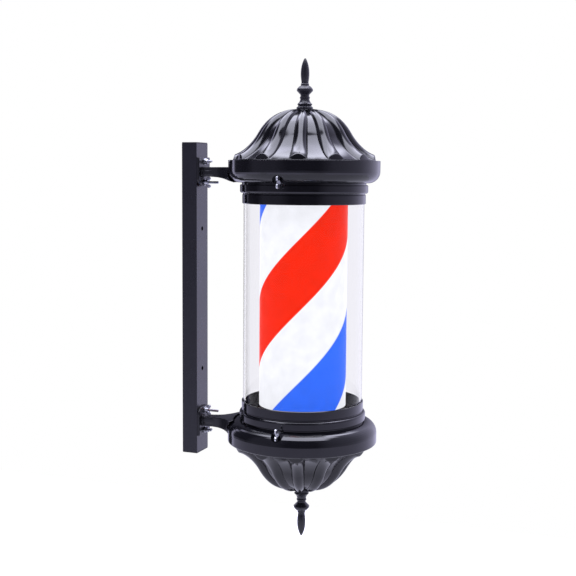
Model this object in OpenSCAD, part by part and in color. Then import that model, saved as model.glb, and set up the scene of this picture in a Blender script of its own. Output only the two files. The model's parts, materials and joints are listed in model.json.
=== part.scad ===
// Wall-mounted barber pole light. A clear tube stands between two black housings,
// and a striped drum turns in it round a fixed lamp post. Two arms carry the pole
// in front of a wall rail. The origin is on the rail's back face, level with the
// middle of the pole; +Y points into the wall and +Z up. Above and below the pole's
// middle are mirror images, so most modules draw the upper piece and lower() mirrors it.

/* [Pole] */
// Height from finial tip to finial tip
total_h = 700; // [690:1:720]
// Outer diameter of the housing rims
rim_d = 218.6; // [217:0.2:222]
// Distance of a rim's open edge from the mid-plane
rim_top = 205; // [204:0.2:206]
// Radius of the rim's rounded shoulder
shoulder_r = 17; // [15:0.5:17.5]
// Diameter of the neck ring beside the shoulder
ring_d = 184.6; // [183:0.2:186]
// Diameter of the neck ring that holds the tube
collar_d = 178; // [177.6:0.2:179]
// Distance of the neck's mouth from the mid-plane
neck_z = 143.3; // [142:0.1:145]
// Wall of the moulded housings
housing_wall = 3; // [2.5:0.1:3]

/* [Domes] */
// Number of raised flutes round each dome
flutes = 12; // [8:1:12]
// Height of a flute above the dome
flute_h = 4; // [3:0.1:4.5]
// Wall of the domes
dome_wall = 2.5; // [2:0.1:3]
// Radius of the brim that covers the joint
brim_r = 102.7; // [102.3:0.1:103.2]

/* [Tube and drum] */
// Outer diameter of the clear tube
tube_d = 174; // [172:0.5:174]
// Wall of the clear tube
tube_wall = 3; // [2:0.5:4]
// Outer diameter of the striped drum
drum_d = 127; // [120:1:130]
// Wall of the striped drum
drum_wall = 1; // [0.8:0.1:1.5]
// Height of the striped drum
drum_h = 300; // [294:1:302]

/* [Wall rail] */
// Width of the rail
rail_w = 38; // [36:1:42]
// Depth of the rail
rail_d = 24; // [22:1:30]
// Wall of the rail
rail_wall = 1.8; // [1.5:0.1:2.2]
// Height of the rail with its end caps
rail_h = 468; // [460:1:480]
// Diameter of the holes for the wall screws
wall_hole_d = 6.4; // [5:0.1:7]
// Distance between the two wall screws
wall_hole_gap = 212; // [190:1:230]
// Distance of the rail's middle below the pole's middle
rail_drop = 2.5; // [0:0.5:3]

/* [Arms] */
// Distance from the rail's front face to the pole's axis
pole_gap = 162; // [158:1:168]
// Distance of an arm's centre from the mid-plane
arm_z = 188; // [187:0.5:189]
// Height of an arm's flange
flange_h = 43; // [42:0.5:45]
// Thickness of an arm's flange
flange_t = 4; // [3:0.5:5]
// Width of an arm's beam
beam_w = 21; // [18:0.5:24]
// Height of an arm's beam
beam_h = 14.3; // [12:0.1:14.5]
// Distance between a flange's two bolts
bolt_gap = 31; // [30:0.5:32]

/* [Hidden] */
$fn = 96;

pole_y = -(rail_d + pole_gap);
rim_r = rim_d / 2;
ring_r = ring_d / 2;
collar_r = collar_d / 2;
tube_r = tube_d / 2;
drum_r = drum_d / 2;
gap = 0.3;
run = 0.05;
over = 1;

// Section of a housing
upper_edge = 0.5;
lower_edge = 2;
shoulder_z = 190.2;
shoulder_end = shoulder_z - shoulder_r;
mouth_r = 101.5;
inner_r = rim_r - housing_wall;
corner_x = rim_r - shoulder_r;
seat_z = 162;
plate_z = 165.5;
plate_t = 3;
plate_r = 86.4;

// Rail, arms and their bolts
rail_cap_t = 1.6;
flare_y0 = 146;
flare_y1 = 97;
arm_top = arm_z + beam_h / 2;
washer_t = 1;

// Thumbscrews and the pockets they sit in
thumb_z = 174.5;
thumb_r = 2.42;
pocket_r = 9.3;
pocket_x = 97;
boss_x = 88;
tab_x = 83;

// Arm and rail fastenings
cable_z = 190;
cable_hole_r = 3.2;
cable_r = 2.1;
arm_screw_x = 16;
arm_screw_z = 191.5;
bolt_r = 1.95;

// Cable gland, on the far side from the light's front
gland_z = 191.5;
gland_bore = 2.8;
gland_turn = -40;

// Dome outline over the flutes: an upper convex curve and a lower hollow one
crown = [[12, 278], [45.1, 277.3], [59.9, 257.4], [67.8, 243.3]];
sweep_out = [[67.8, 243.3], [74, 232.2], [86.5, 217.9], [99, 214.3]];
boss_top = 277.6;

// Drum, tube and motor
gasket_t = 1.6;
end_z = 148.5;
end_t = 2.5;
hub_top = -end_z;
motor_z = plate_z + plate_t;
ear_t = 2.4;
bush_r = 25.95;
ring_bore_r = bush_r + run;
shaft_r = 3;
post_w = 20;
motor_r = 25;
motor_ear = 30;
motor_h = 22;

// Lamp, driver and terminals
post_screw_x = 12.5;
board_h = 240;
board_t = 1.6;
driver_y = 47;
driver_screw_x = 35;
block_y = 55;
block_screw_x = 12;

// Route of the lead that joins the two housings through the arms and the rail
half_route = [[63.3, 178], [70, 178.5], [78, 181], [86, 185.5], [94, 189], [103, 190],
    [120, 190], [140, 190], [158, 190], [165, 189.6], [170, 187.5], [174, 183.5],
    [176, 178], [176, 160], [176, 110], [176, 50]];

function arc(c, r, a0, a1, n = 8) =
    [for (i = [0 : n]) c + r * [cos(a0 + (a1 - a0) * i / n), sin(a0 + (a1 - a0) * i / n)]];

function bez(p, t) =
    pow(1 - t, 3) * p[0] + 3 * pow(1 - t, 2) * t * p[1]
    + 3 * (1 - t) * t * t * p[2] + pow(t, 3) * p[3];

function bez_dir(p, t) =
    pow(1 - t, 2) * (p[1] - p[0]) + 2 * (1 - t) * t * (p[2] - p[1]) + t * t * (p[3] - p[2]);

function bez_normal(p, t) = let (d = bez_dir(p, t)) [-d[1], d[0]] / norm(d);

// Points on a curve, moved inwards by depth
function curve(p, depth, n, first = 0) =
    [for (i = [first : n]) bez(p, i / n) - depth * bez_normal(p, i / n)];

// The dome's outline at a depth below the flutes' tops
function dome_line(depth) = concat(curve(crown, depth, 8), curve(sweep_out, depth, 6, 1));

function reversed(list) = [for (i = [len(list) - 1 : -1 : 0]) list[i]];

module at_pole() {
    translate([0, pole_y, 0])
        children();
}

module lower() {
    mirror([0, 0, 1])
        children();
}

// Cylinder along X, from x0 to x1
module along_x(x0, x1, r) {
    translate([x0, 0, 0])
        rotate([0, 90, 0])
            cylinder(r = r, h = x1 - x0);
}

// Cylinder along Y, from y0 to y1
module along_y(y0, y1, r) {
    translate([0, y1, 0])
        rotate([90, 0, 0])
            cylinder(r = r, h = y1 - y0);
}

module block(low, high) {
    translate(low)
        cube(high - low);
}

// Round ring between two radii
module ring(r0, r1, z0, z1) {
    translate([0, 0, z0])
        difference() {
            cylinder(r = r1, h = z1 - z0);
            translate([0, 0, -over])
                cylinder(r = r0, h = z1 - z0 + 2 * over);
        }
}

// Pan-head screw, head down at z = 0 and shank up
module pan_screw(r, length, head_r, head_h) {
    cylinder(r = r, h = length);
    translate([0, 0, -head_h])
        cylinder(r = head_r, h = head_h);
}

// ---- Wall rail ----

module wall_rail() {
    tube_h = rail_h - 2 * rail_cap_t;
    color("#2b2a31")
        difference() {
            block([-rail_w / 2, -rail_d, -rail_drop - tube_h / 2],
                  [rail_w / 2, 0, -rail_drop + tube_h / 2]);
            block([-rail_w / 2 + rail_wall, -rail_d + rail_wall, -tube_h],
                  [rail_w / 2 - rail_wall, -rail_wall, tube_h]);
            for (s = [-1, 1]) {
                translate([0, 0, -rail_drop + s * wall_hole_gap / 2])
                    along_y(-rail_d - over, over, wall_hole_d / 2);
                translate([0, 0, s * cable_z])
                    along_y(-rail_d - over, -rail_d / 2, cable_hole_r);
                for (t = [-1, 1])
                    translate([0, 0, s * (arm_z + t * bolt_gap / 2)])
                        along_y(-rail_d - over, -rail_d / 2, bolt_r + 0.3);
            }
        }
}

// Cap of a rail that stands level with the pole's middle
module rail_cap() {
    plug_gap = rail_wall + 0.2;
    cap_z = rail_h / 2 - rail_cap_t;
    color("#17171b") {
        block([-rail_w / 2, -rail_d, cap_z], [rail_w / 2, 0, rail_h / 2]);
        difference() {
            block([-rail_w / 2 + plug_gap, -rail_d + plug_gap, cap_z - 8],
                  [rail_w / 2 - plug_gap, -plug_gap, cap_z]);
            block([-rail_w / 2 + 4, -rail_d + 4, cap_z - 9],
                  [rail_w / 2 - 4, -4, cap_z - 2]);
        }
    }
}

module rail_cap_top() {
    translate([0, 0, -rail_drop])
        rail_cap();
}

module rail_cap_bottom() {
    translate([0, 0, -rail_drop])
        lower()
            rail_cap();
}

// ---- Arms ----

// Half the width of an arm's flare, t from the beam (0) to the rim (1)
function flare_half(t) = beam_w / 2 + 39 * pow(t, 2.2);

module arm_plan() {
    side = [for (i = [0 : 10]) let (t = i / 10)
        [flare_half(t), flare_y0 + (flare_y1 - flare_y0) * t]];
    polygon(concat([[beam_w / 2, pole_gap - 1]], side, [[42, 81.5], [0, 78]],
        [for (p = reversed(concat(side, [[42, 81.5]]))) [-p[0], p[1]]],
        [[-beam_w / 2, pole_gap - 1]]));
}

// Section of an arm, turned round the pole: a flat top, and a hollow belly that
// runs out into a thin blade under the rim's shoulder
module arm_section() {
    belly = concat(curve([[80, 169], [104, 169.6], [104, 179.6], [146, 181]], 0, 8),
        arc([153.4, 178.2], 3.2, 95, 15, 4));
    polygon(concat(belly, [[pole_gap - 1, 178.3], [pole_gap - 1, arm_top],
        [80, arm_top]]));
}

// What the arm keeps clear of: the rim, and a wider space round its shoulder
module arm_clearance() {
    shoulder_gap = 2.2;
    rotate_extrude()
        polygon(concat([[0, 150], [94.5, 150]],
            arc([corner_x, shoulder_z], shoulder_r + shoulder_gap, -83, -9, 8),
            [[rim_r + 0.05, shoulder_z - 2], [rim_r + 0.05, 210], [0, 210]]));
}

module flange_outline() {
    arch_r = 11;
    half = flange_h / 2;
    difference() {
        translate([-rail_w / 2, -half])
            square([rail_w, flange_h]);
        for (s = [-1, 1])
            translate([s * (rail_w / 2 - arch_r), -half + arch_r])
                difference() {
                    translate([s > 0 ? 0 : -arch_r - over, -arch_r - over])
                        square([arch_r + over, arch_r + over]);
                    circle(r = arch_r);
                }
    }
}

module upper_arm() {
    color("#1b1b20")
        at_pole()
            difference() {
                union() {
                    intersection() {
                        linear_extrude(height = 210)
                            arm_plan();
                        rotate_extrude()
                            arm_section();
                    }
                    for (s = [-1, 1])
                        block([s * beam_w / 2 - 0.8, 118, arm_z - 4.6],
                              [s * beam_w / 2 + 0.8, pole_gap - 1, arm_z + 1.6]);
                    translate([0, pole_gap, arm_z])
                        rotate([90, 0, 0])
                            linear_extrude(height = flange_t)
                                flange_outline();
                }
                arm_clearance();
                translate([0, 0, cable_z])
                    along_y(80, pole_gap + over, cable_hole_r);
                for (s = [-1, 1]) {
                    translate([s * arm_screw_x, 0, arm_screw_z])
                        along_y(80, 121, 2);
                    translate([0, 0, arm_z + s * bolt_gap / 2])
                        along_y(pole_gap - 20, pole_gap + over, bolt_r + 0.3);
                }
            }
}

module lower_arm() {
    lower()
        upper_arm();
}

// One bolt of the upper arm, its head inside the rail
module arm_bolt(z, length) {
    seat = pole_gap + rail_wall;
    translate([0, 0, z])
        at_pole() {
            along_y(seat - length, seat, bolt_r);
            translate([0, seat + 3, 0])
                rotate([90, 0, 0])
                    cylinder(r = 4, h = 3, $fn = 6);
        }
}

module arm_bolts() {
    color("#b9bcc2")
        for (m = [0, 1])
            mirror([0, 0, m]) {
                arm_bolt(arm_z - bolt_gap / 2, 28.5);
                arm_bolt(arm_z + bolt_gap / 2, 17);
            }
}

module arm_washers() {
    face = pole_gap - flange_t;
    color("#c3c6cb")
        for (m = [0, 1], s = [-1, 1])
            mirror([0, 0, m])
                translate([0, 0, arm_z + s * bolt_gap / 2])
                    at_pole()
                        difference() {
                            along_y(face - washer_t, face, 5);
                            along_y(face - 2 * washer_t, face + washer_t, bolt_r + 0.1);
                        }
}

module arm_screws() {
    head_y = 104.2;
    color("#8d9096")
        for (m = [0, 1], s = [-1, 1])
            mirror([0, 0, m])
                translate([s * arm_screw_x, 0, arm_screw_z])
                    at_pole() {
                        along_y(head_y, 119, 1.9);
                        along_y(head_y - 2.4, head_y, 3.4);
                    }
}

// Wing of a nut or screw: the axis is y, and the tip reaches out along x
module wing(reach, foot, top, thick) {
    tip_r = (top - foot) * 0.42;
    translate([0, 0, -thick / 2])
        linear_extrude(height = thick) {
            polygon([[2.8, 0.4], [reach - tip_r, foot], [reach - tip_r, top],
                [2.8, 4]]);
            translate([reach - tip_r, top - tip_r])
                circle(r = tip_r);
            translate([reach - tip_r, foot + tip_r])
                circle(r = tip_r);
        }
}

// Wing nut on the y axis: its foot is at y = 0 and its wings open along +y
module wing_nut_body() {
    difference() {
        union() {
            rotate([-90, 0, 0])
                cylinder(r1 = 4.3, r2 = 3.6, h = 4.6);
            for (m = [0, 1])
                mirror([m, 0, 0])
                    wing(8.2, 3, 9, 2);
        }
        along_y(-over, 6, bolt_r + 0.06);
    }
}

// Wing nut number k, counted from the top bolt downwards
module wing_nut(k) {
    side = k < 3 ? 1 : -1;
    outer = k == 1 || k == 4;
    z = side * (arm_z + (outer ? 1 : -1) * bolt_gap / 2);
    foot = pole_y + pole_gap - flange_t - washer_t - 0.1;
    color("#c9ccd2")
        translate([0, foot, z])
            rotate([0, outer ? 0 : 90, 0])
                mirror([0, 1, 0])
                    wing_nut_body();
}

// ---- Housings ----

// Outside of a housing, as a solid; edge rounds the rim's open end
module housing_outside(edge) {
    soft = 3;
    collar_end = 156;
    ring_start = 158.4;
    ring_end = 170.5;
    neck_r = 88.2;
    rotate_extrude()
        polygon(concat(
            [[0, neck_z], [collar_r - 0.8, neck_z], [collar_r, neck_z + 0.8],
             [collar_r, collar_end], [neck_r, collar_end + 0.8], [neck_r, ring_start]],
            arc([ring_r - soft, ring_start + soft], soft, -90, 0, 4),
            [[ring_r, ring_end - 0.9], [ring_r - 0.9, ring_end], [89.6, ring_end],
             [89.6, shoulder_end]],
            arc([corner_x, shoulder_z], shoulder_r, -90, 0, 10),
            arc([rim_r - edge, rim_top - edge], edge, 0, 90, 4),
            [[0, rim_top]]));
}

// Space inside the upper housing
module housing_inside() {
    lip_r = 82;
    lip_z = 200.6;
    neck_bore = plate_r + 0.2;
    inner_corner = shoulder_r - housing_wall;
    rotate_extrude()
        polygon(concat(
            [[0, neck_z - over], [tube_r + gap, neck_z - over], [tube_r + gap, seat_z],
             [lip_r, seat_z], [lip_r, plate_z], [neck_bore, plate_z],
             [neck_bore, shoulder_end + housing_wall]],
            arc([corner_x, shoulder_z], inner_corner, -90, 0, 8),
            [[inner_r, lip_z - 4], [mouth_r, lip_z], [mouth_r, rim_top + over],
             [0, rim_top + over]]));
}

module housing(edge) {
    difference() {
        housing_outside(edge);
        difference() {
            housing_inside();
            for (s = [0, 180])
                rotate([0, 0, s])
                    translate([0, 0, thumb_z])
                        along_x(boss_x, rim_r + over, pocket_r + 2.7);
        }
        for (s = [0, 180])
            rotate([0, 0, s])
                translate([0, 0, thumb_z]) {
                    along_x(pocket_x, rim_r + over, pocket_r);
                    along_x(tab_x, pocket_x + over, thumb_r + 0.35);
                }
        translate([0, 0, cable_z])
            along_y(80, rim_r + over, cable_hole_r);
        for (s = [-1, 1])
            translate([s * arm_screw_x, 0, arm_screw_z])
                along_y(80, rim_r + over, 2.1);
    }
}

module upper_housing() {
    color("#141417")
        at_pole()
            housing(upper_edge);
}

module lower_housing() {
    color("#141417")
        at_pole()
            lower()
                difference() {
                    housing(lower_edge);
                    rotate([0, 0, gland_turn])
                        translate([0, 0, gland_z])
                            along_y(90, rim_r + over, 5.1);
                }
}

// ---- Domes ----

// Plan outline of one flute: wide and round at the brim, narrow at the top
module flute_plan() {
    nose_r = 12.2;
    nose_y = 88.8;
    neck_half = 2.6;
    start = 11;
    polygon([[-neck_half, start], [neck_half, start], [7.9, 44], [10.3, 68],
        [nose_r, nose_y], [-nose_r, nose_y], [-10.3, 68], [-7.9, 44]]);
    translate([0, nose_y])
        circle(r = nose_r);
}

module flute_solid() {
    root = flute_h + dome_wall / 2;
    intersection() {
        rotate_extrude()
            polygon(concat(dome_line(0), [[101.4, 209.6], [97, 208.6]],
                reversed(dome_line(root))));
        translate([0, 0, 200])
            linear_extrude(height = 90)
                flute_plan();
    }
}

module dome_shell() {
    skirt_r = mouth_r - gap;
    skirt_z = 198;
    brim_z = rim_top + gap;
    rotate_extrude()
        polygon(concat([[10, boss_top - 7]], [[10, boss_top - flute_h - 0.2]],
            dome_line(flute_h),
            [[brim_r - 1, 209.8], [brim_r, 208.8], [brim_r, brim_z],
             [skirt_r, brim_z], [skirt_r, skirt_z], [skirt_r - 2.2, skirt_z],
             [skirt_r - 2.2, 206]],
            reversed(dome_line(flute_h + dome_wall))));
}

module dome() {
    difference() {
        union() {
            dome_shell();
            translate([0, 0, boss_top - 7.6])
                cylinder(r = 12.6, h = 7.6);
            for (i = [0 : flutes - 1])
                rotate([0, 0, (i + 0.5) * 360 / flutes])
                    flute_solid();
        }
        translate([0, 0, boss_top - 20])
            cylinder(r = 3.2, h = 30);
    }
}

module dome_cap() {
    color("#15151a")
        at_pole()
            dome();
}

module bowl_cap() {
    lower()
        dome_cap();
}

// Turned finial with its threaded stud
module finial() {
    tip = total_h / 2;
    waist = 33.4;
    rotate_extrude()
        polygon(concat(
            [[0, boss_top], [11.9, boss_top + 0.1], [11.9, boss_top + 3],
             [11.2, boss_top + 4], [9.6, boss_top + 4.6], [9.6, boss_top + 5.8],
             [10.7, boss_top + 6.8], [10.4, boss_top + 7.8]],
            arc([12.6, boss_top + 14], 6, -110, -180, 4),
            arc([5.4, boss_top + 16.6], 1.9, -50, 50, 4),
            [[6.3, boss_top + 19.4], [6.3, boss_top + 20.6], [7.2, boss_top + 22.4],
             [9, boss_top + 24.6], [11.3, boss_top + 27], [11.3, boss_top + 27.9],
             [9.2, boss_top + 30.6], [6.4, boss_top + 33], [5.9, boss_top + waist + 0.6],
             [5.9, boss_top + waist + 2], [5.2, boss_top + waist + 3.2]],
            curve([[5.1, tip - 33.6], [7.2, tip - 22], [6.4, tip - 10], [1.1, tip - 0.6]],
                0, 10),
            [[0, tip]]));
    translate([0, 0, boss_top - 15])
        cylinder(r = 3, h = 16);
}

module upper_finial() {
    color("#15151a")
        at_pole()
            finial();
}

module lower_finial() {
    lower()
        upper_finial();
}

module upper_finial_nut() {
    boss_foot = boss_top - 7.6;
    color("#b9bcc2")
        at_pole()
            difference() {
                union() {
                    ring(3.1, 8, boss_foot - 1, boss_foot);
                    translate([0, 0, boss_foot - 6])
                        cylinder(r = 5.7, h = 5, $fn = 6);
                }
                translate([0, 0, boss_foot - 7])
                    cylinder(r = 3.1, h = 9);
            }
}

module lower_finial_nut() {
    lower()
        upper_finial_nut();
}

// ---- Thumbscrews ----

// Thumbscrew on the x axis: the shank runs inwards and two wings stand out of the hub
module thumb_screw_body() {
    hub_x = pocket_x + 0.4;
    along_x(tab_x - 3, hub_x + 1, thumb_r);
    along_x(hub_x, hub_x + 4.5, 2.9);
    for (m = [0, 1])
        mirror([0, 0, m])
            translate([hub_x + 0.6, 0, 0])
                rotate([90, 0, 0])
                    mirror([1, -1, 0])
                        wing(8.8, 2.6, 11, 2.5);
}

// Thumbscrew number k: 1 and 2 in the upper housing, 3 and 4 in the lower one
module thumb_screw(k) {
    side = k % 2 == 1 ? 180 : 0;
    level = k < 3 ? 1 : -1;
    color("#cfd2d8")
        at_pole()
            rotate([0, 0, side])
                translate([0, 0, level * thumb_z])
                    thumb_screw_body();
}

// ---- Tube and drum ----

module clear_tube() {
    half = seat_z - gasket_t;
    color("#eceaf5", 0.35)
        at_pole()
            ring(tube_r - tube_wall, tube_r, -half, half);
}

module tube_gaskets() {
    color("#3a3a3e")
        at_pole()
            for (m = [0, 1])
                mirror([0, 0, m])
                    ring(tube_r - tube_wall, tube_r, seat_z - gasket_t, seat_z);
}

module striped_drum() {
    color("#f4f1ff")
        at_pole()
            ring(drum_r - drum_wall, drum_r, -drum_h / 2, drum_h / 2);
}

module drum_end(bore, collar, collar_z) {
    end_r = drum_r - drum_wall - 0.2;
    ring(bore, end_r, end_z - end_t, end_z);
    ring(end_r - 2.4, end_r, end_z - 7, end_z - end_t);
    ring(bore, collar, collar_z, end_z - end_t);
}

module drum_top_ring() {
    color("#e6e6ea")
        at_pole()
            drum_end(ring_bore_r, bush_r + 3.5, 142.5);
}

module drum_bottom_disc() {
    color("#e6e6ea")
        at_pole()
            lower()
                drum_end(4, 12, 142.5);
}

module drive_hub() {
    color("#d8c48a")
        at_pole()
            difference() {
                union() {
                    translate([0, 0, hub_top - 3])
                        cylinder(r = 16, h = 3);
                    translate([0, 0, -163])
                        cylinder(r = 8, h = 163 + hub_top);
                }
                translate([0, 0, -164])
                    cylinder(r = shaft_r + 0.04, h = 30);
                for (a = [30, 150, 270])
                    rotate([0, 0, a])
                        translate([12, 0, -160])
                            cylinder(r = 1.7, h = 20);
                translate([0, 0, -158])
                    along_x(2, 9, 1.5);
            }
}

module hub_screws() {
    color("#a7aab0")
        at_pole() {
            for (a = [30, 150, 270])
                rotate([0, 0, a])
                    translate([12, 0, hub_top - 3])
                        pan_screw(1.4, 3, 2.6, 1.6);
            translate([0, 0, -158])
                along_x(shaft_r + 0.1, 7.6, 1.4);
        }
}

module motor_shaft() {
    color("#c9ccd2")
        at_pole()
            translate([0, 0, -174])
                cylinder(r = shaft_r, h = 174 + hub_top - 1);
}

// ---- Motor and plates ----

module gear_motor() {
    color("#b8babf")
        at_pole()
            lower()
                difference() {
                    union() {
                        translate([0, 0, motor_z])
                            cylinder(r = motor_r, h = motor_h);
                        block([-motor_ear - 5, -6, motor_z],
                              [motor_ear + 5, 6, motor_z + ear_t]);
                        translate([0, 0, plate_z + 0.2])
                            cylinder(r = 7, h = plate_t + 1);
                    }
                    translate([0, 0, plate_z])
                        cylinder(r = shaft_r + run, h = 10.5);
                    for (s = [-1, 1])
                        translate([s * motor_ear, 0, motor_z - over])
                            cylinder(r = 2.1, h = ear_t + 2 * over);
                }
}

module motor_screws() {
    color("#8d9096")
        at_pole()
            for (s = [-1, 1])
                translate([s * motor_ear, 0, -motor_z - ear_t])
                    pan_screw(1.95, 7.4, 3.6, 2.4);
}

// Round plate with two upright tabs that the thumbscrews hold
module plate_blank() {
    tab_w = 16;
    tab_top = 182;
    difference() {
        union() {
            translate([0, 0, plate_z])
                cylinder(r = plate_r, h = plate_t);
            for (s = [0, 180])
                rotate([0, 0, s])
                    block([tab_x, -tab_w / 2, plate_z + plate_t / 2],
                          [tab_x + 3, tab_w / 2, tab_top]);
        }
        for (s = [0, 180])
            rotate([0, 0, s])
                translate([0, 0, thumb_z])
                    along_x(tab_x - over, tab_x + 4, thumb_r + 0.08);
    }
}

module plate_hole(x, y, r) {
    translate([x, y, plate_z - over])
        cylinder(r = r, h = plate_t + 2 * over);
}

module upper_plate() {
    color("#1e1e22")
        at_pole()
            difference() {
                plate_blank();
                plate_hole(0, 0, 6);
                for (s = [-1, 1]) {
                    plate_hole(s * post_screw_x, 0, 1.6);
                    plate_hole(s * driver_screw_x, driver_y, 1.6);
                }
                for (a = [90, 210, 330])
                    rotate([0, 0, a])
                        plate_hole(28.6, 0, 1.3);
            }
}

module lower_plate() {
    color("#1e1e22")
        at_pole()
            lower()
                difference() {
                    plate_blank();
                    plate_hole(0, 0, 7.3);
                    for (s = [-1, 1]) {
                        plate_hole(s * motor_ear, 0, 2.05);
                        plate_hole(s * block_screw_x, block_y, 1.6);
                    }
                }
}

module guide_bush() {
    color("#f2f0e6")
        at_pole()
            difference() {
                union() {
                    ring(23, bush_r, 141, plate_z);
                    ring(23, 31, plate_z - 3, plate_z);
                }
                for (a = [90, 210, 330])
                    rotate([0, 0, a])
                        translate([28.6, 0, 150])
                            cylinder(r = 1.4, h = 20);
            }
}

module bush_screws() {
    color("#a7aab0")
        at_pole()
            for (a = [90, 210, 330])
                rotate([0, 0, a])
                    translate([28.6, 0, plate_z - 3])
                        pan_screw(1.2, 5.6, 2, 1.4);
}

// ---- Lamp ----

module lamp_post() {
    half = post_w / 2;
    color("#cfd2d8")
        at_pole()
            difference() {
                union() {
                    block([-half, -half, -128], [half, half, plate_z - 2]);
                    block([-15, -15, plate_z - 3], [15, 15, plate_z]);
                }
                block([-half + 1.5, -half + 1.5, -129], [half - 1.5, half - 1.5, 170]);
                for (s = [-1, 1])
                    translate([s * post_screw_x, 0, 150])
                        cylinder(r = 1.3, h = 20);
            }
}

module post_screws() {
    color("#a7aab0")
        at_pole()
            lower()
                for (s = [-1, 1])
                    translate([s * post_screw_x, 0, -plate_z - plate_t])
                        pan_screw(1.2, 5.8, 2.6, 1.6);
}

module led_boards() {
    color("#f7f7f2")
        at_pole()
            for (a = [0 : 90 : 270])
                rotate([0, 0, a])
                    block([post_w / 2, -7, -board_h / 2],
                          [post_w / 2 + board_t, 7, board_h / 2]);
}

module led_chips() {
    chips = 12;
    size = 5;
    pitch = board_h / chips;
    face = post_w / 2 + board_t;
    color("#ffe9a8")
        at_pole()
            for (a = [0 : 90 : 270], i = [0 : chips - 1])
                rotate([0, 0, a])
                    translate([face, -size / 2, (i + 0.5) * pitch - board_h / 2 - size / 2])
                        cube([1.4, size, size]);
}

module led_driver() {
    color("#e9e9ee")
        at_pole()
            difference() {
                union() {
                    block([-29, driver_y - 16, motor_z], [29, driver_y + 16, motor_z + 19]);
                    block([-40, driver_y - 7, motor_z], [40, driver_y + 7, motor_z + 2.2]);
                }
                for (s = [-1, 1])
                    translate([s * driver_screw_x, driver_y, motor_z - over])
                        cylinder(r = 1.7, h = 5);
            }
}

module driver_screws() {
    color("#8d9096")
        at_pole()
            lower()
                for (s = [-1, 1])
                    translate([s * driver_screw_x, driver_y, -motor_z - 2.2])
                        pan_screw(1.5, 5, 2.8, 1.8);
}

module terminal_block() {
    color("#f0eee4")
        at_pole()
            lower()
                difference() {
                    block([-15, block_y - 8, motor_z], [15, block_y + 8, motor_z + 13]);
                    for (x = [-9, 0, 9])
                        translate([x, block_y, motor_z + 6])
                            cylinder(r = 2.6, h = 10);
                    for (s = [-1, 1])
                        translate([s * block_screw_x, block_y, motor_z - over])
                            cylinder(r = 1.3, h = 5.5);
                }
}

module terminal_screws() {
    color("#c8a24a")
        at_pole()
            lower()
                for (x = [-9, 0, 9])
                    translate([x, block_y, motor_z + 6])
                        difference() {
                            cylinder(r = 2.3, h = 4);
                            block([-3, -0.4, 3], [3, 0.4, 5]);
                        }
}

module block_screws() {
    color("#8d9096")
        at_pole()
            lower()
                for (s = [-1, 1])
                    translate([s * block_screw_x, block_y, plate_z])
                        pan_screw(1.2, 7, 2.4, 1.5);
}

// ---- Cable gland ----

module cable_gland() {
    color("#1a1a1d")
        at_pole()
            lower()
                rotate([0, 0, gland_turn])
                    translate([0, 0, gland_z])
                        difference() {
                            union() {
                                along_y(100, rim_r + 1, 4.9);
                                translate([0, rim_r + 5, 0])
                                    rotate([90, 0, 0])
                                        cylinder(r = 6.9, h = 4.9, $fn = 6);
                                translate([0, rim_r + 5, 0])
                                    rotate([-90, 0, 0])
                                        cylinder(r1 = 6, r2 = 4.6, h = 7);
                            }
                            along_y(99, rim_r + 13, gland_bore);
                        }
}

module gland_nut() {
    color("#1a1a1d")
        at_pole()
            lower()
                rotate([0, 0, gland_turn])
                    translate([0, 0, gland_z])
                        difference() {
                            translate([0, 105.6, 0])
                                rotate([90, 0, 0])
                                    cylinder(r = 6.2, h = 3, $fn = 6);
                            along_y(100, 108, 5);
                        }
}

// ---- Leads inside ----

// Round lead along points in the y-z plane, swept as rings of eight sides
module lead(route, r) {
    sides = 8;
    n = len(route);
    rings = [for (i = [0 : n - 1])
        let (
            d = route[min(i + 1, n - 1)] - route[max(i - 1, 0)],
            side = [-d[1], d[0]] / norm(d)
        )
        for (k = [0 : sides - 1])
            let (a = 360 * k / sides)
            [r * cos(a), route[i][0] + r * sin(a) * side[0],
             route[i][1] + r * sin(a) * side[1]]];
    walls = [for (i = [0 : n - 2], k = [0 : sides - 1])
        let (k2 = (k + 1) % sides)
        [i * sides + k, (i + 1) * sides + k, (i + 1) * sides + k2, i * sides + k2]];
    ends = [[for (k = [0 : sides - 1]) k],
        [for (k = [sides - 1 : -1 : 0]) (n - 1) * sides + k]];
    polyhedron(points = rings, faces = concat(walls, ends));
}

module link_cable() {
    color("#e8e8e8")
        at_pole()
            lead(concat([for (p = half_route) [p[0], -p[1]]], reversed(half_route)), cable_r);
}

module lamp_leads() {
    color("#c8372d")
        at_pole()
            lead([[30.5, 176], [24, 176.5], [16, 176.8], [8, 176.2], [3, 173.5], [0.6, 169],
                [0, 163], [0, 150], [0, 135]], 1.5);
}

module motor_leads() {
    color("#2f55c8")
        at_pole()
            lead([[25.3, -181], [29, -181], [33, -180.8], [37, -180], [41, -178.6], [46.6, -177.4]],
                1.5);
}

wall_rail();
rail_cap_top();
rail_cap_bottom();
upper_arm();
lower_arm();
arm_bolts();
arm_washers();
arm_screws();
wing_nut(1);  // wing_nut_1
wing_nut(2);  // wing_nut_2
wing_nut(3);  // wing_nut_3
wing_nut(4);  // wing_nut_4
upper_housing();
lower_housing();
dome_cap();
bowl_cap();
upper_finial();
lower_finial();
upper_finial_nut();
lower_finial_nut();
thumb_screw(1);  // thumb_screw_1
thumb_screw(2);  // thumb_screw_2
thumb_screw(3);  // thumb_screw_3
thumb_screw(4);  // thumb_screw_4
clear_tube();
tube_gaskets();
striped_drum();
drum_top_ring();
drum_bottom_disc();
drive_hub();
hub_screws();
motor_shaft();
gear_motor();
motor_screws();
lower_plate();
upper_plate();
guide_bush();
bush_screws();
lamp_post();
post_screws();
led_boards();
led_chips();
led_driver();
driver_screws();
terminal_block();
terminal_screws();
block_screws();
cable_gland();
gland_nut();
link_cable();
lamp_leads();
motor_leads();
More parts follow.
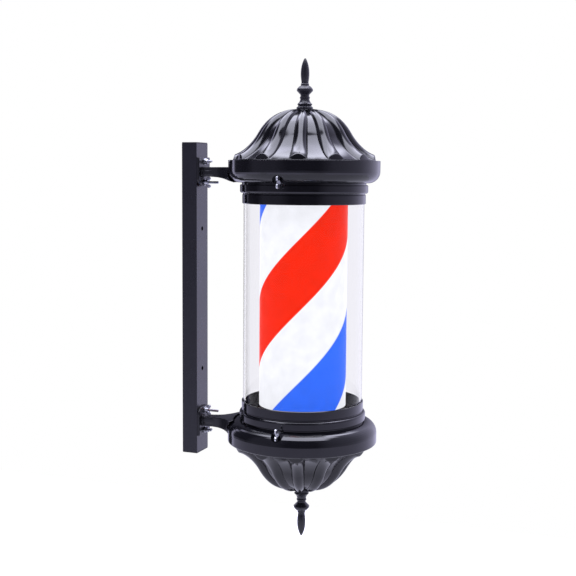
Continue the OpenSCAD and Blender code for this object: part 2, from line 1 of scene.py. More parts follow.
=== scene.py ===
"""Looks of the barber pole light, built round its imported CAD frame."""

import json
import math

import bmesh
import bpy
from mathutils import Matrix, Vector

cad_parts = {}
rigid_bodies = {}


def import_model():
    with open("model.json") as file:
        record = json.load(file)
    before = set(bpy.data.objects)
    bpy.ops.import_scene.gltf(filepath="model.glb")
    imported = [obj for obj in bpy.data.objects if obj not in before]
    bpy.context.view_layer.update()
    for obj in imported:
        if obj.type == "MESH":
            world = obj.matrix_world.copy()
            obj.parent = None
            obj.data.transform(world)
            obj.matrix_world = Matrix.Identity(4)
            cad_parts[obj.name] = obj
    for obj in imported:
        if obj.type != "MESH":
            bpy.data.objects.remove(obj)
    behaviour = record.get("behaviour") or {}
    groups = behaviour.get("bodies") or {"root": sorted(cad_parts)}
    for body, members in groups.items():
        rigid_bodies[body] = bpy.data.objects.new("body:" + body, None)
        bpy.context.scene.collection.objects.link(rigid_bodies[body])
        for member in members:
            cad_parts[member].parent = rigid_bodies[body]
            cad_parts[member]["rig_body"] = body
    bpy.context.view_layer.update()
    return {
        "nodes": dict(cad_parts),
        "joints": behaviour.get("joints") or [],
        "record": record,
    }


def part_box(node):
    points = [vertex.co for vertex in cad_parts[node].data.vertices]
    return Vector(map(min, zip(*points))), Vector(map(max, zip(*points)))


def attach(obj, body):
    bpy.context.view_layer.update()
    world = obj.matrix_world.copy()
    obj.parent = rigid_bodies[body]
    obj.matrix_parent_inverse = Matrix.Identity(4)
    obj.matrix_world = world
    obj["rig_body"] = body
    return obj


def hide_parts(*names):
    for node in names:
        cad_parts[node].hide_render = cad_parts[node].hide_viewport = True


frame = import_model()

MM = 0.001
SCENE = bpy.context.scene
JOINTS = {joint["name"]: joint for joint in frame["joints"]}
SLOT_OF = {part["node"]: part["material_slot"] for part in frame["record"]["subparts"]}
POLE = Vector(JOINTS["drum_spin"]["pos_m"])
FACING = 200.0  # angle round the pole that the camera faces, in degrees from +X

# ---------------------------------------------------------------- camera


def make_camera():
    """Camera at the photograph's distance, height and angle (metres and radians)."""
    azimuth = math.radians(70.02)
    yaw, pitch, roll = -0.014, 0.104, 0.007
    distance, height = 1.586181, 0.18624
    data = bpy.data.cameras.new("camera")
    data.sensor_width = 36.0
    data.lens = 68.484
    data.clip_start = 0.05
    data.clip_end = 60.0
    camera = bpy.data.objects.new("camera", data)
    SCENE.collection.objects.link(camera)
    heading = azimuth + yaw
    forward = Vector((math.sin(heading) * math.cos(pitch),
                      math.cos(heading) * math.cos(pitch), -math.sin(pitch)))
    level = forward.cross(Vector((0, 0, 1))).normalized()
    upright = level.cross(forward)
    right = math.cos(roll) * level + math.sin(roll) * upright
    up = math.cos(roll) * upright - math.sin(roll) * level
    place = POLE + Vector((-math.sin(azimuth) * distance,
                           -math.cos(azimuth) * distance, height))
    turn = Matrix((right, up, -forward)).transposed().to_4x4()
    camera.matrix_world = Matrix.Translation(place) @ turn
    SCENE.camera = camera


make_camera()

# ---------------------------------------------------------------- materials


class Tree:
    """A node tree, with short calls for the nodes that materials and the world share."""

    def __init__(self, tree):
        self.tree = tree

    def node(self, kind, **settings):
        made = self.tree.nodes.new(kind)
        for key, value in settings.items():
            setattr(made, key, value)
        return made

    def feed(self, socket, value):
        if isinstance(value, bpy.types.NodeSocket):
            self.tree.links.new(value, socket)
        else:
            socket.default_value = value

    def math(self, operation, a, b=0.0):
        made = self.node("ShaderNodeMath", operation=operation)
        self.feed(made.inputs[0], a)
        self.feed(made.inputs[1], b)
        return made.outputs[0]


class Shader(Tree):
    """A material's node tree."""

    def __init__(self, name):
        self.material = bpy.data.materials.new(name)
        self.material.use_nodes = True
        super().__init__(self.material.node_tree)
        self.surface = self.tree.nodes["Principled BSDF"]
        self.place = self.node("ShaderNodeTexCoord").outputs["Object"]

    def noise(self, scale, detail=3.0, stretch=None, roughness=0.5):
        made = self.node("ShaderNodeTexNoise")
        source = self.place
        if stretch:
            mapping = self.node("ShaderNodeMapping")
            mapping.inputs["Scale"].default_value = stretch
            self.feed(mapping.inputs["Vector"], source)
            source = mapping.outputs["Vector"]
        self.feed(made.inputs["Vector"], source)
        made.inputs["Scale"].default_value = scale
        made.inputs["Detail"].default_value = detail
        made.inputs["Roughness"].default_value = roughness
        return made.outputs["Fac"]

    def spread(self, value, low, high, first=0.3, last=0.7):
        """Maps a value that runs from first to last onto low to high."""
        made = self.node("ShaderNodeMapRange")
        for key, number in (("From Min", first), ("From Max", last),
                            ("To Min", low), ("To Max", high)):
            made.inputs[key].default_value = number
        self.feed(made.inputs["Value"], value)
        return made.outputs["Result"]

    def mix(self, factor, a, b):
        """Mixes two colours, on the Mix node's colour sockets."""
        made = self.node("ShaderNodeMix", data_type="RGBA")
        self.feed(made.inputs["Factor"], factor)
        self.feed(made.inputs[6], a)
        self.feed(made.inputs[7], b)
        return made.outputs[2]

    def ramp(self, value, stops):
        made = self.node("ShaderNodeValToRGB")
        elements = made.color_ramp.elements
        while len(elements) < len(stops):
            elements.new(0.5)
        for element, (position, colour) in zip(elements, stops):
            element.position = position
            element.color = (*colour, 1.0)
        self.feed(made.inputs["Fac"], value)
        return made.outputs["Color"]

    def bump(self, height, depth, strength, over=None):
        made = self.node("ShaderNodeBump")
        made.inputs["Distance"].default_value = depth
        made.inputs["Strength"].default_value = strength
        self.feed(made.inputs["Height"], height)
        if over is not None:
            self.feed(made.inputs["Normal"], over)
        return made.outputs["Normal"]

    def set(self, **values):
        for key, value in values.items():
            self.feed(self.surface.inputs[key.replace("_", " ")], value)
        return self.material


def rgb(colour, gain=1.0):
    return (*[channel * gain for channel in colour], 1.0)


def gloss_plastic(name, colour, roughness):
    """Polished moulded plastic: slight flow marks, faint haze and a little dust."""
    shader = Shader(name)
    haze = shader.noise(22, 4)
    fine = shader.noise(900, 2)
    dust = shader.spread(shader.noise(160, 8, roughness=0.7), 0.0, 1.0, 0.66, 0.82)
    base = shader.mix(haze, rgb(colour, 0.8), rgb(colour, 1.25))
    base = shader.mix(shader.math("MULTIPLY", dust, 0.05), base, rgb((0.3, 0.3, 0.32)))
    rough = shader.spread(haze, roughness * 0.75, roughness * 1.35)
    rough = shader.math("ADD", rough, shader.math("MULTIPLY", dust, 0.12))
    normal = shader.bump(shader.noise(45, 1), 0.00025, 0.25)
    normal = shader.bump(fine, 0.00001, 0.5, normal)
    return shader.set(Base_Color=base, Roughness=rough, Normal=normal, IOR=1.5)


def satin(name, colour, roughness, grain=1500, depth=0.00003):
    """Satin moulding or powder coat with a fine even grain."""
    shader = Shader(name)
    cloud = shader.noise(18, 4)
    speck = shader.noise(grain, 2)
    base = shader.mix(cloud, rgb(colour, 0.82), rgb(colour, 1.2))
    rough = shader.spread(cloud, roughness * 0.88, roughness * 1.15)
    normal = shader.bump(speck, depth, 0.7)
    return shader.set(Base_Color=base, Roughness=rough, Normal=normal)


def metal(name, colour, roughness, brush=(1.0, 1.0, 1.0)):
    """Plated or cast metal with fine marks, finer along an axis where brush is larger."""
    shader = Shader(name)
    marks = shader.noise(700, 3, stretch=brush)
    stain = shader.noise(120, 4)
    base = shader.mix(stain, rgb(colour, 0.8), rgb(colour, 1.08))
    rough = shader.spread(marks, roughness * 0.7, roughness * 1.35)
    normal = shader.bump(marks, 0.00002, 0.6)
    return shader.set(Base_Color=base, Roughness=rough, Normal=normal, Metallic=1.0)


def clear_acrylic():
    """Clear tube, with a faint tint and light polishing haze."""
    shader = Shader("clear_acrylic")
    haze = shader.noise(30, 5)
    rough = shader.spread(haze, 0.0, 0.01)
    base = shader.mix(haze, rgb((0.932, 0.927, 0.958)), rgb((0.942, 0.938, 0.966)))
    shader.set(Base_Color=base, Roughness=rough, IOR=1.18)
    return shader.set(Transmission_Weight=1.0)


def striped_film():
    """Lit drum: four equal spiral bands printed on a translucent film."""
    turn_height = 0.41  # metres along the pole in one full turn of a band
    edge = 0.0008  # width of the blur between two bands, as a share of a turn
    red = (0.97, 0.018, 0.0)
    white = (0.955, 0.97, 1.0)
    blue = (0.032, 0.16, 1.0)
    shader = Shader("drum_stripes")
    parts = shader.node("ShaderNodeSeparateXYZ")
    shader.feed(parts.inputs[0], shader.place)
    across = shader.math("SUBTRACT", parts.outputs["X"], POLE.x)
    along = shader.math("SUBTRACT", parts.outputs["Y"], POLE.y)
    angle = shader.math("DIVIDE", shader.math("ARCTAN2", along, across), 2 * math.pi)
    rise = shader.math("DIVIDE", parts.outputs["Z"], turn_height)
    phase = shader.math("ADD", shader.math("SUBTRACT", rise, angle), FACING / 360)
    phase = shader.math("FRACT", phase)
    stops = [(0.0, red), (0.25 - edge, red), (0.25, white), (0.5, white),
             (0.5 + edge, blue), (0.75, blue), (0.75 + edge, white), (1.0, white)]
    bands = shader.ramp(phase, stops)
    cloud = shader.noise(60, 3)
    ink = shader.mix(shader.spread(cloud, 0.97, 0.93), bands, rgb((0.0, 0.0, 0.0)))
    height = shader.math("ABSOLUTE", parts.outputs["Z"])
    glow = shader.spread(height, 1.03, 0.93, 0.09, 0.15)
    glow = shader.math("MULTIPLY", glow, shader.spread(cloud, 0.97, 1.03))
    normal = shader.bump(shader.noise(35, 1), 0.0003, 0.2)
    shader.set(Base_Color=ink, Emission_Color=bands, Emission_Strength=glow)
    return shader.set(Roughness=0.4, Normal=normal, Specular_IOR_Level=0.05)


def make_materials():
    """One material for each material slot of the record."""
    grey = (0.0032, 0.0032, 0.0046)
    return {
        "rail_black": satin("rail_black", (0.008, 0.008, 0.012), 0.28),
        "cap_black": satin("cap_black", (0.01, 0.01, 0.013), 0.45, 900, 0.00006),
        "arm_black": satin("arm_black", (0.006, 0.006, 0.008), 0.3, 1100, 0.00003),
        "housing_black": gloss_plastic("housing_black", grey, 0.09),
        "dome_black": gloss_plastic("dome_black", grey, 0.13),
        "finial_black": gloss_plastic("finial_black", (0.014, 0.014, 0.019), 0.32),
        "plate_black": satin("plate_black", (0.03, 0.03, 0.035), 0.32),
        "clear_acrylic": clear_acrylic(),
        "gasket_rubber": satin("gasket_rubber", (0.012, 0.012, 0.017), 0.38, 700, 0.0001),
        "drum_stripes": striped_film(),
        "drum_white": satin("drum_white", (0.8, 0.8, 0.83), 0.42),
        "hub_brass": metal("hub_brass", (0.75, 0.56, 0.28), 0.28, (1, 1, 12)),
        "steel": metal("steel", (0.4, 0.41, 0.44), 0.3),
        "zinc": metal("zinc", (0.62, 0.63, 0.66), 0.38),
        "motor_steel": metal("motor_steel", (0.66, 0.67, 0.7), 0.3, (1, 1, 8)),
        "nylon": satin("nylon", (0.82, 0.8, 0.73), 0.38),
        "terminal_brass": metal("terminal_brass", (0.74, 0.54, 0.25), 0.3),
        "post_aluminium": metal("post_aluminium", (0.75, 0.76, 0.78), 0.32, (14, 14, 0.4)),
        "board_white": satin("board_white", (0.84, 0.84, 0.8), 0.3, 600),
        "led_yellow": gloss_plastic("led_yellow", (0.95, 0.72, 0.22), 0.25),
        "driver_white": satin("driver_white", (0.78, 0.78, 0.8), 0.45, 800, 0.00006),
        "gland_black": satin("gland_black", (0.016, 0.016, 0.019), 0.42, 900),
        "lead_white": satin("lead_white", (0.78, 0.78, 0.78), 0.4),
        "lead_red": satin("lead_red", (0.6, 0.03, 0.02), 0.4),
        "lead_blue": satin("lead_blue", (0.02, 0.07, 0.55), 0.4),
    }


MATERIALS = make_materials()

# ---------------------------------------------------------------- mesh tools


def rounded(corners, steps):
    """Closed outline with each corner (x, y, radius) turned into an arc."""
    points = []
    count = len(corners)
    for i, (x, y, radius) in enumerate(corners):
        corner = Vector((x, y))
        if not radius:
            points.append((x, y))
            continue
        back = (Vector(corners[i - 1][:2]) - corner).normalized()
        ahead = (Vector(corners[(i + 1) % count][:2]) - corner).normalized()
        half = back.angle(ahead) / 2
        centre = corner + (back + ahead).normalized() * radius / math.sin(half)
        first = corner + back * radius / math.tan(half) - centre
        last = corner + ahead * radius / math.tan(half) - centre
        start = math.atan2(first.y, first.x)
        sweep = math.atan2(last.y, last.x) - start
        sweep = (sweep + math.pi) % (2 * math.pi) - math.pi
        for k in range(steps + 1):
            angle = start + sweep * k / steps
            points.append((centre.x + radius * math.cos(angle),
                           centre.y + radius * math.sin(angle)))
    return points


def arc(cx, cy, radius, first, last, steps):
    """Points on an arc, angles in degrees."""
    angles = [math.radians(first + (last - first) * k / steps) for k in range(steps + 1)]
    return [(cx + radius * math.cos(a), cy + radius * math.sin(a)) for a in angles]


def bezier(points, t):
    """Point at t, from 0 to 1, on a cubic curve with four control points."""
    p = [Vector(point) for point in points]
    s = 1 - t
    return p[0] * s**3 + p[1] * (3 * s * s * t) + p[2] * (3 * s * t * t) + p[3] * t**3


def bezier_points(points, steps):
    return [tuple(bezier(points, k / steps)) for k in range(steps + 1)]


def solid(points, faces):
    """Mesh from points in mm and faces, with its normals turned outwards."""
    mesh = bpy.data.meshes.new("solid")
    mesh.from_pydata([Vector(point) * MM for point in points], [], faces)
    shape = bmesh.new()
    shape.from_mesh(mesh)
    bmesh.ops.recalc_face_normals(shape, faces=shape.faces)
    shape.to_mesh(mesh)
    shape.free()
    return mesh


def revolved(outline, segments):
    """Mesh of a closed outline (radius, height) in mm turned round the pole's axis."""
    points, rings = [], []
    for radius, height in outline:
        if radius < 1e-6:
            rings.append([len(points)] * segments)
            points.append((POLE.x / MM, POLE.y / MM, height))
            continue
        rings.append(list(range(len(points), len(points) + segments)))
        for k in range(segments):
            angle = 2 * math.pi * k / segments
            points.append((POLE.x / MM + radius * math.cos(angle),
                           POLE.y / MM + radius * math.sin(angle), height))
    faces = []
    for ring, following in zip(rings, rings[1:] + rings[:1]):
        for k in range(segments):
            m = (k + 1) % segments
            corners = [ring[k], ring[m], following[m], following[k]]
            corners = list(dict.fromkeys(corners))
            if len(corners) > 2:
                faces.append(corners)
    return solid(points, faces)


def lowered(mesh):
    """Copy of a mesh mirrored in the mid-plane."""
    made = mesh.copy()
    made.transform(Matrix.Scale(-1, 4, (0, 0, 1)))
    made.flip_normals()
    return made


def add_piece(name, mesh, node, crease=32, also=()):
    """Shows a mesh in place of a CAD node, on that node's body and slot."""
    body = frame["nodes"][node]["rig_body"]
    mesh.name = name
    piece = bpy.data.objects.new(name, mesh)
    SCENE.collection.objects.link(piece)
    mesh.materials.clear()
    mesh.materials.append(MATERIALS[SLOT_OF[node]])
    mesh.shade_smooth()
    mesh.set_sharp_from_angle(angle=math.radians(crease))
    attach(piece, body)
    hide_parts(node, *also)
    return piece


def without_cad_normals(mesh):
    """The mesh without the normals that it took over from its CAD node."""
    normals = mesh.attributes.get("custom_normal")
    if normals:
        mesh.attributes.remove(normals)
    return mesh


def eased(node, width):
    """Copy of a CAD node's mesh with its sharp edges rounded off, width in mm."""
    weld, flat, sharp_from = 0.00001, math.radians(0.5), math.radians(38)
    shape = bmesh.new()
    shape.from_mesh(frame["nodes"][node].data)
    bmesh.ops.remove_doubles(shape, verts=shape.verts, dist=weld)
    bmesh.ops.dissolve_limit(shape, angle_limit=flat, verts=shape.verts,
                             edges=shape.edges)
    sharp = [edge for edge in shape.edges
             if edge.is_manifold and edge.calc_face_angle() > sharp_from]
    bmesh.ops.bevel(shape, geom=sharp, offset=width * MM, offset_type="OFFSET",
                    segments=2, profile=0.5, affect="EDGES", clamp_overlap=True)
    mesh = bpy.data.meshes.new(node)
    shape.to_mesh(mesh)
    shape.free()
    return without_cad_normals(mesh)


def softened(node, voxel, passes, share):
    """Copy of a CAD node's mesh, remeshed at voxel mm so that smoothing rounds its edges.

    share is the part of the faces that is kept at the end.
    """
    source = bpy.data.objects.new("source", frame["nodes"][node].data.copy())
    SCENE.collection.objects.link(source)
    remesh = source.modifiers.new("remesh", "REMESH")
    remesh.mode = "VOXEL"
    remesh.voxel_size = voxel * MM
    rub = source.modifiers.new("rub", "SMOOTH")
    rub.factor = 0.5
    rub.iterations = passes
    thin = source.modifiers.new("thin", "DECIMATE")
    thin.ratio = share
    graph = bpy.context.evaluated_depsgraph_get()
    mesh = bpy.data.meshes.new_from_object(source.evaluated_get(graph))
    bpy.data.objects.remove(source)
    return without_cad_normals(mesh)


def joined(meshes):
    """One mesh from several."""
    shape = bmesh.new()
    for mesh in meshes:
        shape.from_mesh(mesh)
    made = bpy.data.meshes.new("joined")
    shape.to_mesh(made)
    shape.free()
    return made


def tube_of_rings(rings):
    """Closed mesh through rings of points in mm, with a flat face at each end."""
    sides = len(rings[0])
    points = [point for ring in rings for point in ring]
    faces = [tuple(range(sides)), tuple(range(len(points) - sides, len(points)))]
    for j in range(len(rings) - 1):
        for k in range(sides):
            m = (k + 1) % sides
            faces.append((j * sides + k, j * sides + m,
                          (j + 1) * sides + m, (j + 1) * sides + k))
    return solid(points, faces)


# ---------------------------------------------------------------- domes

# Curves of a rib's top and of the land beside it: (radius, height) in mm
RIB_CROWN = [(12, 278), (44.6, 277.3), (59.4, 257.8), (67.8, 243.3)]
RIB_SWEEP = [(67.8, 243.3), (74.6, 231.6), (87.5, 217.4), (101.8, 213.2)]
LAND_CROWN = [(12, 273.6), (42.2, 271.8), (55.6, 252.9), (61.8, 240.2)]
LAND_SWEEP = [(61.8, 240.2), (67.9, 227.7), (85.5, 212.7), (102.7, 206)]
RIBS = 12
DOME_WALL = 2.5
NOSE_START = 0.95  # where on the sweep a rib starts to drop to the land
NOSE_END = 0.992
CROWN_STEPS = 36
SWEEP_STEPS = 44
NOSE_STEPS = 18


def rib_half_width(radius):
    """Half the width of a rib at a distance from the pole's axis, in mm."""
    widths = [(11, 2.6), (44, 7.9), (68, 10.3), (88, 12.2), (110, 12.6)]
    for (r0, w0), (r1, w1) in zip(widths, widths[1:]):
        if radius <= r1:
            return w0 + (w1 - w0) * max(radius - r0, 0) / (r1 - r0)
    return widths[-1][1]


def rib_share(across, radius, nose):
    """Height of a rib from 0 (land) to 1 (top); nose runs from 0 to 1 at its end."""
    share = abs(across) / rib_half_width(radius)
    if nose >= 1 or share >= 1:
        return 0.0
    return (1 - share**2) ** 0.85 * (1 - nose**3) ** 0.5


def dome_rows():
    """Points on the land and on a rib's top, with the nose's share, from boss to brim."""
    rows = []
    for k in range(CROWN_STEPS):
        t = k / CROWN_STEPS
        rows.append((bezier(LAND_CROWN, t), bezier(RIB_CROWN, t), 0.0))
    run = [k / SWEEP_STEPS * NOSE_START for k in range(SWEEP_STEPS)]
    run += [NOSE_START + k / NOSE_STEPS * (1 - NOSE_START) for k in range(NOSE_STEPS + 1)]
    for t in run:
        nose = max(0.0, (t - NOSE_START) / (NOSE_END - NOSE_START))
        rows.append((bezier(LAND_SWEEP, t), bezier(RIB_SWEEP, t), nose))
    return rows


def dome_mesh():
    """Ribbed dome: rounded ribs that end in blunt noses, standing on smooth lands."""
    rib_steps, land_steps = 22, 6
    sector = 2 * math.pi / RIBS
    outer = dome_rows()
    brim = rounded([(102.7, 206, 0), (102.7, 205.3, 0.2), (101.2, 205.3, 0.2),
                    (101.2, 198, 0.5), (99, 198, 0.5), (99, 204.5, 1)], 3)[1:]
    inner = [(point.x, point.y - DOME_WALL) for point, top, nose in reversed(outer[::5])
             if point.x < 98]
    boss = rounded([(12, 262.5, 0), (3.2, 262.5, 0.3), (3.2, 277.6, 0.5),
                    (12.4, 277.6, 0.8)], 3)
    rows = outer + [(Vector(point), None, 0) for point in brim + inner + boss]
    points, faces = [], []
    for land, top, nose in rows:
        half = min(math.asin(min(rib_half_width(land.x) / land.x, 0.99)), sector * 0.49)
        turns = [-half * math.cos(math.pi * k / rib_steps) for k in range(rib_steps)]
        turns += [half + (sector - 2 * half) * k / land_steps for k in range(land_steps)]
        for i in range(RIBS):
            for turn in turns:
                place = land
                if top and turn < half:
                    rise = rib_share(land.x * math.sin(turn), land.x, nose)
                    place = land.lerp(top, rise)
                angle = (i + 0.5) * sector + turn
                points.append((POLE.x / MM + place.x * math.cos(angle),
                               POLE.y / MM + place.x * math.sin(angle), place.y))
    columns = RIBS * (rib_steps + land_steps)
    for j in range(len(rows)):
        following = (j + 1) % len(rows)
        for k in range(columns):
            m = (k + 1) % columns
            faces.append((j * columns + k, j * columns + m,
                          following * columns + m, following * columns + k))
    return solid(points, faces)


def make_domes():
    """The dome, and the bowl as its mirror image."""
    mesh = dome_mesh()
    add_piece("fluted_dome", mesh, "dome_cap", 50)
    add_piece("fluted_bowl", lowered(mesh), "bowl_cap", 50)


make_domes()

# ---------------------------------------------------------------- finials


def make_finials():
    """Turned finials: base, collars, baluster disc and a slender bud."""
    foot = 277.6
    tip = 350
    outline = [(0, foot - 6), (3, foot - 6), (3, foot)]
    outline += rounded([(3, foot, 0), (11.9, foot, 0.3), (11.9, foot + 3, 0.5),
                        (9.6, foot + 4.6, 0.4), (9.6, foot + 5.8, 0.3)], 4)[1:]
    outline += [(10.7, foot + 6.8), (10.5, foot + 7.8)]
    outline += bezier_points([(10.2, foot + 8.1), (8.6, foot + 9.2), (7.1, foot + 11.6),
                              (6.5, foot + 14.7)], 8)
    outline += arc(5.4, foot + 16.6, 1.9, -50, 50, 8)
    outline += rounded([(6.3, foot + 18.6, 0), (6.3, foot + 20.8, 0.8),
                        (11.7, foot + 26.4, 0.8), (11.3, foot + 29, 1.4),
                        (8.6, foot + 32.2, 2), (5.9, foot + 33.6, 0.6),
                        (5.9, foot + 36, 0)], 6)
    outline += [(5.2, foot + 36.7)]
    bud = [(5.1, tip - 33.6), (7.2, tip - 22), (6.4, tip - 10), (1.1, tip - 0.6)]
    outline += bezier_points(bud, 22) + [(0, tip)]
    mesh = revolved(outline, 64)
    add_piece("turned_finial", mesh, "upper_finial", 30)
    add_piece("turned_finial_low", lowered(mesh), "lower_finial", 30)


make_finials()

# ---------------------------------------------------------------- arms and fastenings


def make_arms():
    """Cast arms, with rubbed edges."""
    for node, name in (("upper_arm", "cast_arm_up"), ("lower_arm", "cast_arm_low")):
        add_piece(name, softened(node, 0.55, 5, 0.35), node, 60)


def make_wing_pieces():
    """Die-cast wing nuts and thumbscrews, with rubbed edges."""
    for k in range(1, 5):
        add_piece(f"cast_wing_nut_{k}", softened(f"wing_nut_{k}", 0.24, 4, 0.5),
                  f"wing_nut_{k}", 60)
        add_piece(f"cast_thumb_screw_{k}", softened(f"thumb_screw_{k}", 0.26, 4, 0.5),
                  f"thumb_screw_{k}", 60)


def threaded_rod(radius, length, pitch):
    """Rings of a threaded rod that points along -Y from y = 0, in mm."""
    sides, per_turn, depth, tip = 18, 6, 0.36, 0.6
    count = int(length / pitch * per_turn)
    rings = []
    for i in range(count + 1):
        along = length * i / count
        ring = []
        for k in range(sides):
            wave = abs((along / pitch - k / sides) % 1 * 2 - 1)
            reach = radius - depth * wave
            reach = min(reach, radius - tip + (length - along))
            turn = 2 * math.pi * k / sides
            ring.append((reach * math.cos(turn), -along, reach * math.sin(turn)))
        rings.append(ring)
    return rings


def hex_head(flats, height):
    """Rings of a hexagon head that stands along +Y on y = 0, in mm."""
    corner = flats / math.sqrt(3)
    rings = []
    for reach, along in ((corner, 0), (corner, height - 0.5), (corner - 0.6, height)):
        rings.append([(reach * math.cos(math.pi * k / 3), along,
                       reach * math.sin(math.pi * k / 3)) for k in range(6)])
    return rings


def make_bolts():
    """Four threaded bolts, their heads inside the rail, against its front wall."""
    rail_wall = 1.8
    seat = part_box("wall_rail")[0].y / MM + rail_wall
    lengths = {1: 17, 2: 28.5, 3: 28.5, 4: 17}
    parts = []
    for k, length in lengths.items():
        axis = Vector(JOINTS[f"wing_nut_{k}_turn"]["pos_m"]) / MM
        for rings in (threaded_rod(1.95, length, 0.7), hex_head(6.9, 3)):
            rings = [[(x + axis.x, y + seat, z + axis.z) for x, y, z in ring]
                     for ring in rings]
            parts.append(tube_of_rings(rings))
    add_piece("threaded_bolts", joined(parts), "arm_bolts", 40)


make_arms()
make_wing_pieces()
make_bolts()

# ---------------------------------------------------------------- pieces with eased edges

# Width of each rounded edge in mm
EASED = {
    "wall_rail": 0.8, "rail_cap_top": 0.6, "rail_cap_bottom": 0.6, "arm_washers": 0.2,
    "clear_tube": 0.4, "striped_drum": 0.25, "upper_plate": 0.4, "lower_plate": 0.4,
    "gear_motor": 0.5, "led_driver": 0.9, "terminal_block": 0.6, "lamp_post": 0.3,
    "led_boards": 0.15, "led_chips": 0.3, "drive_hub": 0.4, "guide_bush": 0.4,
    "drum_top_ring": 0.3, "drum_bottom_disc": 0.3, "cable_gland": 0.4, "gland_nut": 0.3,
    "upper_finial_nut": 0.35, "lower_finial_nut": 0.35, "motor_screws": 0.5,
    "driver_screws": 0.45, "block_screws": 0.4, "bush_screws": 0.4, "post_screws": 0.4,
    "arm_screws": 0.5, "hub_screws": 0.35, "motor_shaft": 0.3, "terminal_screws": 0.12,
}


def make_eased_pieces():
    """Copies of plain CAD nodes with rounded edges and even shading."""
    for node, width in EASED.items():
        piece = add_piece(f"{node}_eased", eased(node, width), node, 40)
        even = piece.modifiers.new("even", "WEIGHTED_NORMAL")
        even.keep_sharp = True


make_eased_pieces()

# ---------------------------------------------------------------- carried-over CAD nodes


def dress_cad_nodes():
    """Gives every CAD node its slot's material."""
    for name, node in frame["nodes"].items():
        node.data.materials.clear()
        node.data.materials.append(MATERIALS[SLOT_OF[name]])


dress_cad_nodes()

# ---------------------------------------------------------------- stage and light


def make_floor():
    """Pale floor under the pole, bright enough to fade into the backdrop."""
    half, drop = 2.4, 0.75
    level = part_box("lower_finial")[0].z - drop
    mesh = bpy.data.meshes.new("floor")
    corners = [(-half, -half, level), (half, -half, level), (half, half, level),
               (-half, half, level)]
    mesh.from_pydata(corners, [], [(0, 1, 2, 3)])
    floor = bpy.data.objects.new("floor", mesh)
    SCENE.collection.objects.link(floor)
    shader = Shader("floor")
    tone = shader.noise(0.6, 3)
    base = shader.mix(tone, rgb((0.2, 0.2, 0.21)), rgb((0.22, 0.22, 0.23)))
    seen = shader.node("ShaderNodeLightPath").outputs["Is Camera Ray"]
    glow_unseen, glow_extra = 0.42, 0.9
    glow = shader.math("ADD", glow_unseen, shader.math("MULTIPLY", seen, glow_extra))
    shader.set(Base_Color=base, Roughness=0.7, Emission_Strength=glow)
    shader.set(Specular_IOR_Level=0.0)
    mesh.materials.append(shader.set(Emission_Color=(0.82, 0.81, 1, 1)))


def add_softbox(name, place, aim, size, watts, colour):
    """Rectangular light that the camera and reflections don't see."""
    data = bpy.data.lights.new(name, "AREA")
    data.shape = "RECTANGLE"
    data.size, data.size_y = size
    data.energy = watts
    data.color = colour
    light = bpy.data.objects.new(name, data)
    light.location = place
    direction = Vector(aim) - Vector(place)
    light.rotation_euler = direction.to_track_quat("-Z", "Y").to_euler()
    light.visible_camera = False
    light.visible_glossy = False
    SCENE.collection.objects.link(light)


def around(angle, distance, height):
    """Point at an angle round the pole, measured from the side that the camera faces."""
    turn = math.radians(FACING + angle)
    return POLE + Vector((distance * math.cos(turn), distance * math.sin(turn), height))


def make_lights():
    """A weak fill from the front, so that metal and hollows aren't lit by the room alone."""
    add_softbox("front_fill", around(20, 2.4, 0.9), POLE, (1.2, 1.2), 7, (0.96, 0.96, 1.0))


# Brightness of the studio's walls, by angle from the side that the camera faces
WALLS = [(-180, 0.12), (-155, 0.12), (-149, 1.9), (-133, 1.9), (-127, 0.1), (-95, 0.1),
         (-80, 0.36), (-45, 0.36), (-25, 0.12), (22, 0.12), (45, 0.5), (90, 0.85),
         (125, 1.5), (150, 1.5), (168, 0.6), (180, 0.12)]
WALL_TINT = (0.74, 0.72, 1.0)
CEILING = 7.3
CEILING_TINT = (0.83, 0.84, 1.0)
GROUND = 1.5
CEILING_FRONT = (57, 63)  # degrees up from the front, where the ceiling light fades in
CEILING_BACK = (124, 141)  # and where it fades out behind
CEILING_SIDE = (0.42, 0.58)  # sideways part of the direction, where it fades out
CEILING_SHIFT = 0.05
GROUND_FADE = (-0.36, -0.08)  # upward part of the direction, from the ground to the walls


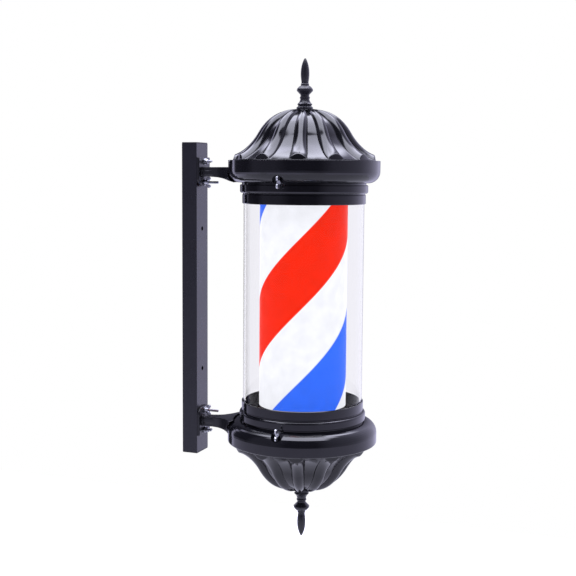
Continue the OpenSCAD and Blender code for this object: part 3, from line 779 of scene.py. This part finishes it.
class WorldTree(Tree):
    """The world's nodes."""

    def __init__(self):
        self.world = bpy.data.worlds.new("studio")
        self.world.use_nodes = True
        super().__init__(self.world.node_tree)
        self.tree.nodes.clear()

    def along(self, direction, axis):
        made = self.node("ShaderNodeVectorMath", operation="DOT_PRODUCT")
        self.feed(made.inputs[0], direction)
        made.inputs[1].default_value = axis
        return made.outputs["Value"]

    def background(self, colour, strength):
        made = self.node("ShaderNodeBackground")
        self.feed(made.inputs["Color"], colour)
        self.feed(made.inputs["Strength"], strength)
        return made.outputs[0]

    def blend(self, factor, a, b):
        made = self.node("ShaderNodeMixShader")
        for socket, value in zip(made.inputs, (factor, a, b)):
            self.feed(socket, value)
        return made.outputs[0]

    def sum(self, a, b):
        made = self.node("ShaderNodeAddShader")
        self.feed(made.inputs[0], a)
        self.feed(made.inputs[1], b)
        return made.outputs[0]

    def step(self, value, low, high, first, last):
        """Smooth change from first to last while value goes from low to high."""
        made = self.node("ShaderNodeMapRange", interpolation_type="SMOOTHSTEP")
        for key, number in (("From Min", low), ("From Max", high),
                            ("To Min", first), ("To Max", last)):
            made.inputs[key].default_value = number
        self.feed(made.inputs["Value"], value)
        return made.outputs["Result"]


def make_world():
    """White to the camera; to reflections, a studio with a wide ceiling light."""
    make = WorldTree()
    SCENE.world = make.world
    direction = make.node("ShaderNodeTexCoord").outputs["Generated"]
    turn = math.radians(FACING)
    front = make.along(direction, (math.cos(turn), math.sin(turn), 0))
    right = make.along(direction, (-math.sin(turn), math.cos(turn), 0))
    up = make.along(direction, (0, 0, 1))
    angle = make.math("DIVIDE", make.math("ARCTAN2", right, front), 2 * math.pi)
    ramp = make.node("ShaderNodeValToRGB")
    elements = ramp.color_ramp.elements
    while len(elements) < len(WALLS):
        elements.new(0.5)
    for element, (degrees, level) in zip(elements, WALLS):
        element.position = degrees / 360 + 0.5
        element.color = rgb(WALL_TINT, level)
    make.feed(ramp.inputs["Fac"], make.math("ADD", angle, 0.5))
    tilt = make.math("ARCTAN2", up, front)
    ceiling = make.step(tilt, *map(math.radians, CEILING_FRONT), 0.0, CEILING)
    back = make.step(tilt, *map(math.radians, CEILING_BACK), 1.0, 0.0)
    aside = make.math("ABSOLUTE", make.math("ADD", right, CEILING_SHIFT))
    side = make.step(aside, *CEILING_SIDE, 1.0, 0.0)
    ceiling = make.math("MULTIPLY", make.math("MULTIPLY", ceiling, back), side)
    lower = make.step(up, *GROUND_FADE, 1.0, 0.0)
    room = make.background(ramp.outputs["Color"], 1.0)
    room = make.blend(lower, room, make.background(rgb(WALL_TINT), GROUND))
    room = make.sum(room, make.background(rgb(CEILING_TINT), ceiling))
    ray = make.node("ShaderNodeLightPath")
    seen = make.math("MAXIMUM", ray.outputs["Is Camera Ray"],
                     ray.outputs["Is Transmission Ray"])
    view = make.blend(seen, room, make.background((1, 1, 1, 1), 1.0))
    out = make.node("ShaderNodeOutputWorld")
    make.feed(out.inputs["Surface"], view)


make_floor()
make_lights()
make_world()
SCENE.view_settings.view_transform = "Standard"
